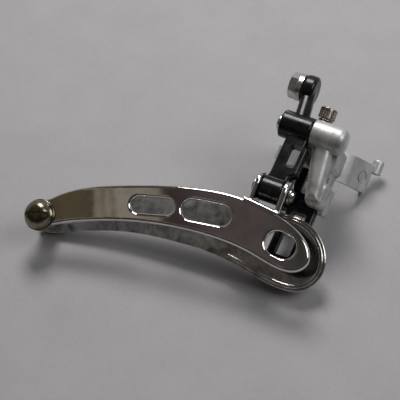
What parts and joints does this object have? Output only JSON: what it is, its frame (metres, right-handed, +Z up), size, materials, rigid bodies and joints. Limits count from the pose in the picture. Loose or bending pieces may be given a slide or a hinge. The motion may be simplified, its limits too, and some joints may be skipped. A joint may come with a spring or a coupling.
{
  "type": "front derailleur",
  "caption": "Front derailleur: long curved chain cage with slotted show plate, moved by two black parallelogram arms on a cast seat-tube saddle.",
  "frame": {"origin": "on the seat tube's axis, inside the saddle", "axes": "+Z up along the seat tube, +X forward towards the cage nose, +Y inboard, so the drive side is -Y"},
  "size_m": [0.1038, 0.0515, 0.0842],
  "materials": {
    "chrome": "polished",
    "black_arm": "gloss",
    "cast_silver": "satin",
    "steel": "worn nickel",
    "brassy_steel": "tarnished",
    "spring_steel": "oiled"
  },
  "bodies": {
    "body": {"body_casting": "cast_silver", "upper_outer_pin": "steel", "upper_inner_pin": "steel", "return_spring": "spring_steel", "low_limit_spring": "spring_steel", "high_limit_spring": "spring_steel"},
    "outer_link": {"outer_arm": "black_arm", "anchor_washer": "steel"},
    "inner_link": {"inner_arm": "black_arm"},
    "cage": {"cage_outer_plate": "chrome", "cage_inner_plate": "chrome", "inner_pivot_bracket": "chrome", "bridge_rivets": "steel", "bracket_rivets": "steel", "lower_outer_pin": "steel", "lower_inner_pin": "steel", "lower_outer_clip": "spring_steel", "lower_inner_clip": "spring_steel", "tail_spacer": "steel", "tail_nut": "brassy_steel", "tail_screw": "brassy_steel"},
    "low_screw": {"low_limit_screw": "steel"},
    "high_screw": {"high_limit_screw": "steel"},
    "anchor": {"anchor_bolt": "steel"}
  },
  "joints": [
    {"name": "outer_arm_swing", "type": "hinge", "parent": "body", "child": "outer_link", "pos_m": [-0.007, -0.034, 0.0026], "axis": [-1, 0, 0], "range_deg": [0, 36], "stiffness_Nm_per_rad": 0.08, "springref_deg": -34.38},
    {"name": "inner_arm_swing", "type": "hinge", "parent": "body", "child": "inner_link", "pos_m": [0.0025, -0.023, -0.0198], "axis": [-1, 0, 0], "range_deg": [0, 36]},
    {"name": "cage_pivot", "type": "hinge", "parent": "outer_link", "child": "cage", "pos_m": [-0.007, -0.04, -0.0209], "axis": [-1, 0, 0], "range_deg": [-36, 0]},
    {"name": "low_screw_turn", "type": "hinge", "parent": "body", "child": "low_screw", "pos_m": [-0.0007, -0.0276, 0.01], "axis": [0, 0, 1], "continuous": true},
    {"name": "high_screw_turn", "type": "hinge", "parent": "body", "child": "high_screw", "pos_m": [0.0056, -0.0264, 0], "axis": [0, 0, 1], "continuous": true},
    {"name": "anchor_bolt_turn", "type": "hinge", "parent": "outer_link", "child": "anchor", "pos_m": [-0.012, -0.0285, 0.0171], "axis": [-1, 0, 0], "continuous": true}
  ],
  "couplings": [
    {"joint": "inner_arm_swing", "follows": "outer_arm_swing", "ratio": 1},
    {"joint": "cage_pivot", "follows": "outer_arm_swing", "ratio": -1}
  ]
}
